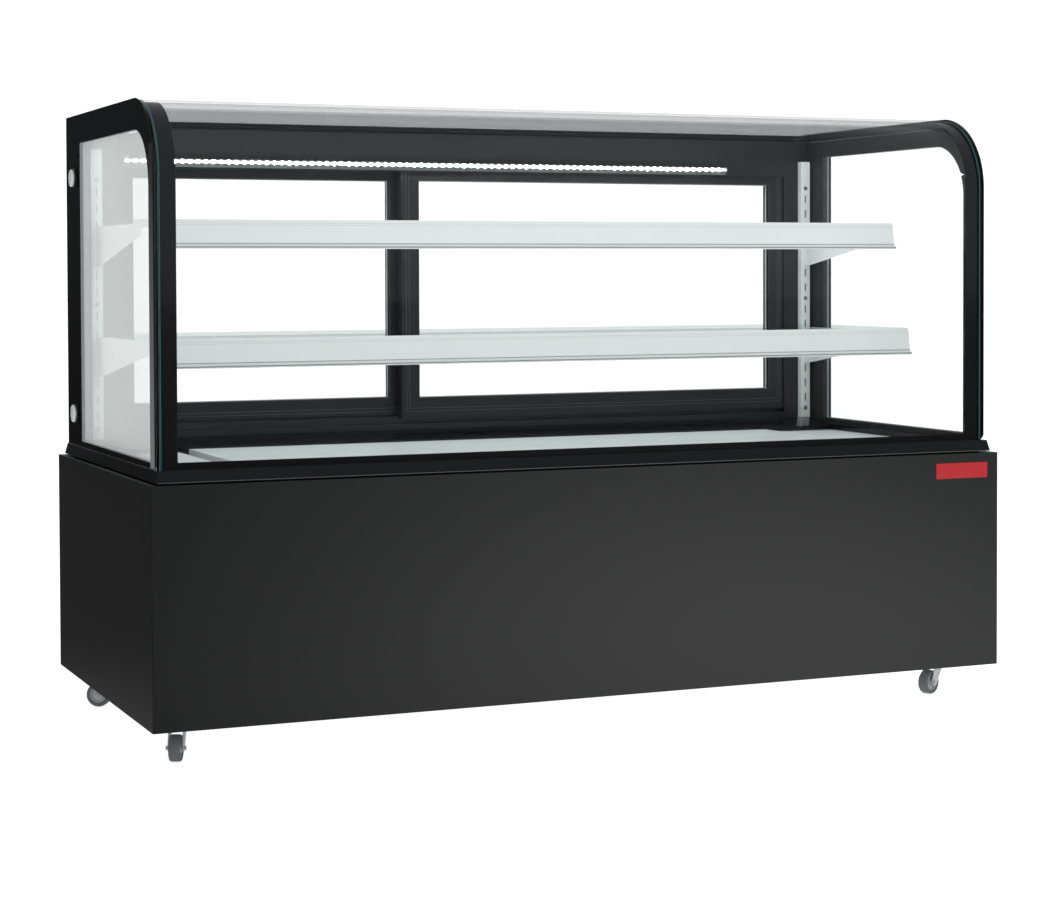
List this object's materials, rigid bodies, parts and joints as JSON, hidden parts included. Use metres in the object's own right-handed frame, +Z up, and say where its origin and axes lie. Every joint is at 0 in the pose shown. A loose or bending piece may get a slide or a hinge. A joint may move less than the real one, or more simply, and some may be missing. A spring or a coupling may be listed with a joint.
{
  "type": "curved glass refrigerated display case",
  "caption": "Refrigerated counter case with a curved double-glazed front, glazed ends, lit glass shelves, sliding rear doors and a black base on swivel casters.",
  "frame": {"origin": "on the floor under the middle of the case, at the bottom of the wheels", "axes": "+X along the front from the customer's left to right, +Y from the customer's side to the rear doors, +Z up"},
  "size_m": [1.8, 0.8, 1.223],
  "materials": {
    "black_paint": "satin powder coat",
    "black_aluminium": "satin black anodised",
    "black_plastic": "fine texture",
    "grey_plastic": "fine texture",
    "zinc_steel": "bright zinc",
    "pale_steel": "pale satin",
    "foam_shell": "foam in thin skins",
    "fin_aluminium": "mill finish",
    "grey_aluminium": "satin",
    "satin_aluminium": "pale satin anodised",
    "compressor_black": "gloss enamel",
    "copper": "drawn copper",
    "clear_glass": "clear, faint green edge",
    "white_metal": "white powder coat",
    "light_white": "diffusing lens",
    "chrome": "polished",
    "grey_rubber": "grey tread"
  },
  "bodies": {
    "case": {"floor_pan": "zinc_steel", "base_frame": "zinc_steel", "front_panel": "black_paint", "left_side_panel": "black_paint", "right_side_panel": "black_paint", "rear_grilles": "black_paint", "control_panel": "black_paint", "controller_housing": "black_plastic", "light_switch_housing": "black_plastic", "power_gland": "black_plastic", "deck_sill": "black_aluminium", "insulated_tub": "foam_shell", "tub_liner": "pale_steel", "deck_pans": "pale_steel", "rear_air_duct": "black_paint", "evaporator_coil": "fin_aluminium", "evaporator_fan_plate": "zinc_steel", "fan_motors": "zinc_steel", "compressor": "compressor_black", "condenser_coil": "fin_aluminium", "fan_shroud": "zinc_steel", "condensate_tray": "grey_plastic", "refrigerant_lines": "copper", "electrical_box": "grey_plastic", "end_outer_panes": "clear_glass", "end_spacers": "grey_aluminium", "end_inner_panes": "clear_glass", "front_glass_outer": "clear_glass", "front_glass_inner": "clear_glass", "front_glass_spacer": "black_plastic", "rear_posts": "black_aluminium", "rear_header": "black_aluminium", "door_tracks": "black_aluminium", "shelf_uprights": "white_metal", "shelf_brackets": "white_metal", "upper_shelf_glass": "clear_glass", "lower_shelf_glass": "clear_glass", "shelf_fascias": "satin_aluminium", "header_light": "light_white", "side_caps": "chrome", "caster_plates": "zinc_steel"},
    "left_door": {"left_door_frame": "black_aluminium", "left_door_glass": "clear_glass"},
    "right_door": {"right_door_frame": "black_aluminium", "right_door_glass": "clear_glass"},
    "left_evaporator_fan": {"left_evaporator_fan": "black_plastic"},
    "right_evaporator_fan": {"right_evaporator_fan": "black_plastic"},
    "condenser_fan": {"condenser_fan": "fin_aluminium"},
    "light_switch_rocker": {"light_switch_rocker": "black_plastic"},
    "controller_button_1": {"controller_button_1": "grey_plastic"},
    "controller_button_2": {"controller_button_2": "grey_plastic"},
    "controller_button_3": {"controller_button_3": "grey_plastic"},
    "front_left_fork": {"front_left_fork": "zinc_steel"},
    "front_left_wheel": {"front_left_wheel": "grey_rubber"},
    "front_right_fork": {"front_right_fork": "zinc_steel"},
    "front_right_wheel": {"front_right_wheel": "grey_rubber"},
    "rear_left_fork": {"rear_left_fork": "zinc_steel"},
    "rear_left_wheel": {"rear_left_wheel": "grey_rubber"},
    "rear_right_fork": {"rear_right_fork": "zinc_steel"},
    "rear_right_wheel": {"rear_right_wheel": "grey_rubber"}
  },
  "joints": [
    {"name": "left_door_slide", "type": "slide", "parent": "case", "child": "left_door", "axis": [1, 0, 0], "range_m": [0, 0.932]},
    {"name": "right_door_slide", "type": "slide", "parent": "case", "child": "right_door", "axis": [-1, 0, 0], "range_m": [0, 0.628]},
    {"name": "front_left_swivel", "type": "hinge", "parent": "case", "child": "front_left_fork", "pos_m": [-0.8235, -0.28, 0.064], "axis": [0, 0, 1], "continuous": true},
    {"name": "front_left_roll", "type": "hinge", "parent": "front_left_fork", "child": "front_left_wheel", "pos_m": [-0.83245, -0.3001, 0.025], "axis": [-0.9135, 0.4067, 0], "continuous": true},
    {"name": "front_right_swivel", "type": "hinge", "parent": "case", "child": "front_right_fork", "pos_m": [0.8235, -0.28, 0.064], "axis": [0, 0, 1], "continuous": true},
    {"name": "front_right_roll", "type": "hinge", "parent": "front_right_fork", "child": "front_right_wheel", "pos_m": [0.8034, -0.28895, 0.025], "axis": [-0.4067, 0.9135, 0], "continuous": true},
    {"name": "rear_left_swivel", "type": "hinge", "parent": "case", "child": "rear_left_fork", "pos_m": [-0.8235, 0.28, 0.064], "axis": [0, 0, 1], "continuous": true},
    {"name": "rear_left_roll", "type": "hinge", "parent": "rear_left_fork", "child": "rear_left_wheel", "pos_m": [-0.84255, 0.291, 0.025], "axis": [0.5, 0.866, 0], "continuous": true},
    {"name": "rear_right_swivel", "type": "hinge", "parent": "case", "child": "rear_right_fork", "pos_m": [0.8235, 0.28, 0.064], "axis": [0, 0, 1], "continuous": true},
    {"name": "rear_right_roll", "type": "hinge", "parent": "rear_right_fork", "child": "rear_right_wheel", "pos_m": [0.81968, 0.25833, 0.025], "axis": [-0.9848, 0.1736, 0], "continuous": true},
    {"name": "left_evaporator_fan_spin", "type": "hinge", "parent": "case", "child": "left_evaporator_fan", "pos_m": [-0.215, -0.079, 0.452], "axis": [0, 1, 0], "continuous": true},
    {"name": "right_evaporator_fan_spin", "type": "hinge", "parent": "case", "child": "right_evaporator_fan", "pos_m": [0.215, -0.079, 0.452], "axis": [0, 1, 0], "continuous": true},
    {"name": "condenser_fan_spin", "type": "hinge", "parent": "case", "child": "condenser_fan", "pos_m": [-0.33, 0.2487, 0.1863], "axis": [0, 1, 0], "continuous": true},
    {"name": "controller_button_1_press", "type": "slide", "parent": "case", "child": "controller_button_1", "axis": [0, -1, 0], "range_m": [0, 0.0008], "stiffness_N_per_m": 300},
    {"name": "controller_button_2_press", "type": "slide", "parent": "case", "child": "controller_button_2", "axis": [0, -1, 0], "range_m": [0, 0.0008], "stiffness_N_per_m": 300},
    {"name": "controller_button_3_press", "type": "slide", "parent": "case", "child": "controller_button_3", "axis": [0, -1, 0], "range_m": [0, 0.0008], "stiffness_N_per_m": 300},
    {"name": "light_switch_tilt", "type": "hinge", "parent": "case", "child": "light_switch_rocker", "pos_m": [0.67, 0.3943, 0.4663], "axis": [1, 0, 0], "range_deg": [-16, 0]}
  ]
}
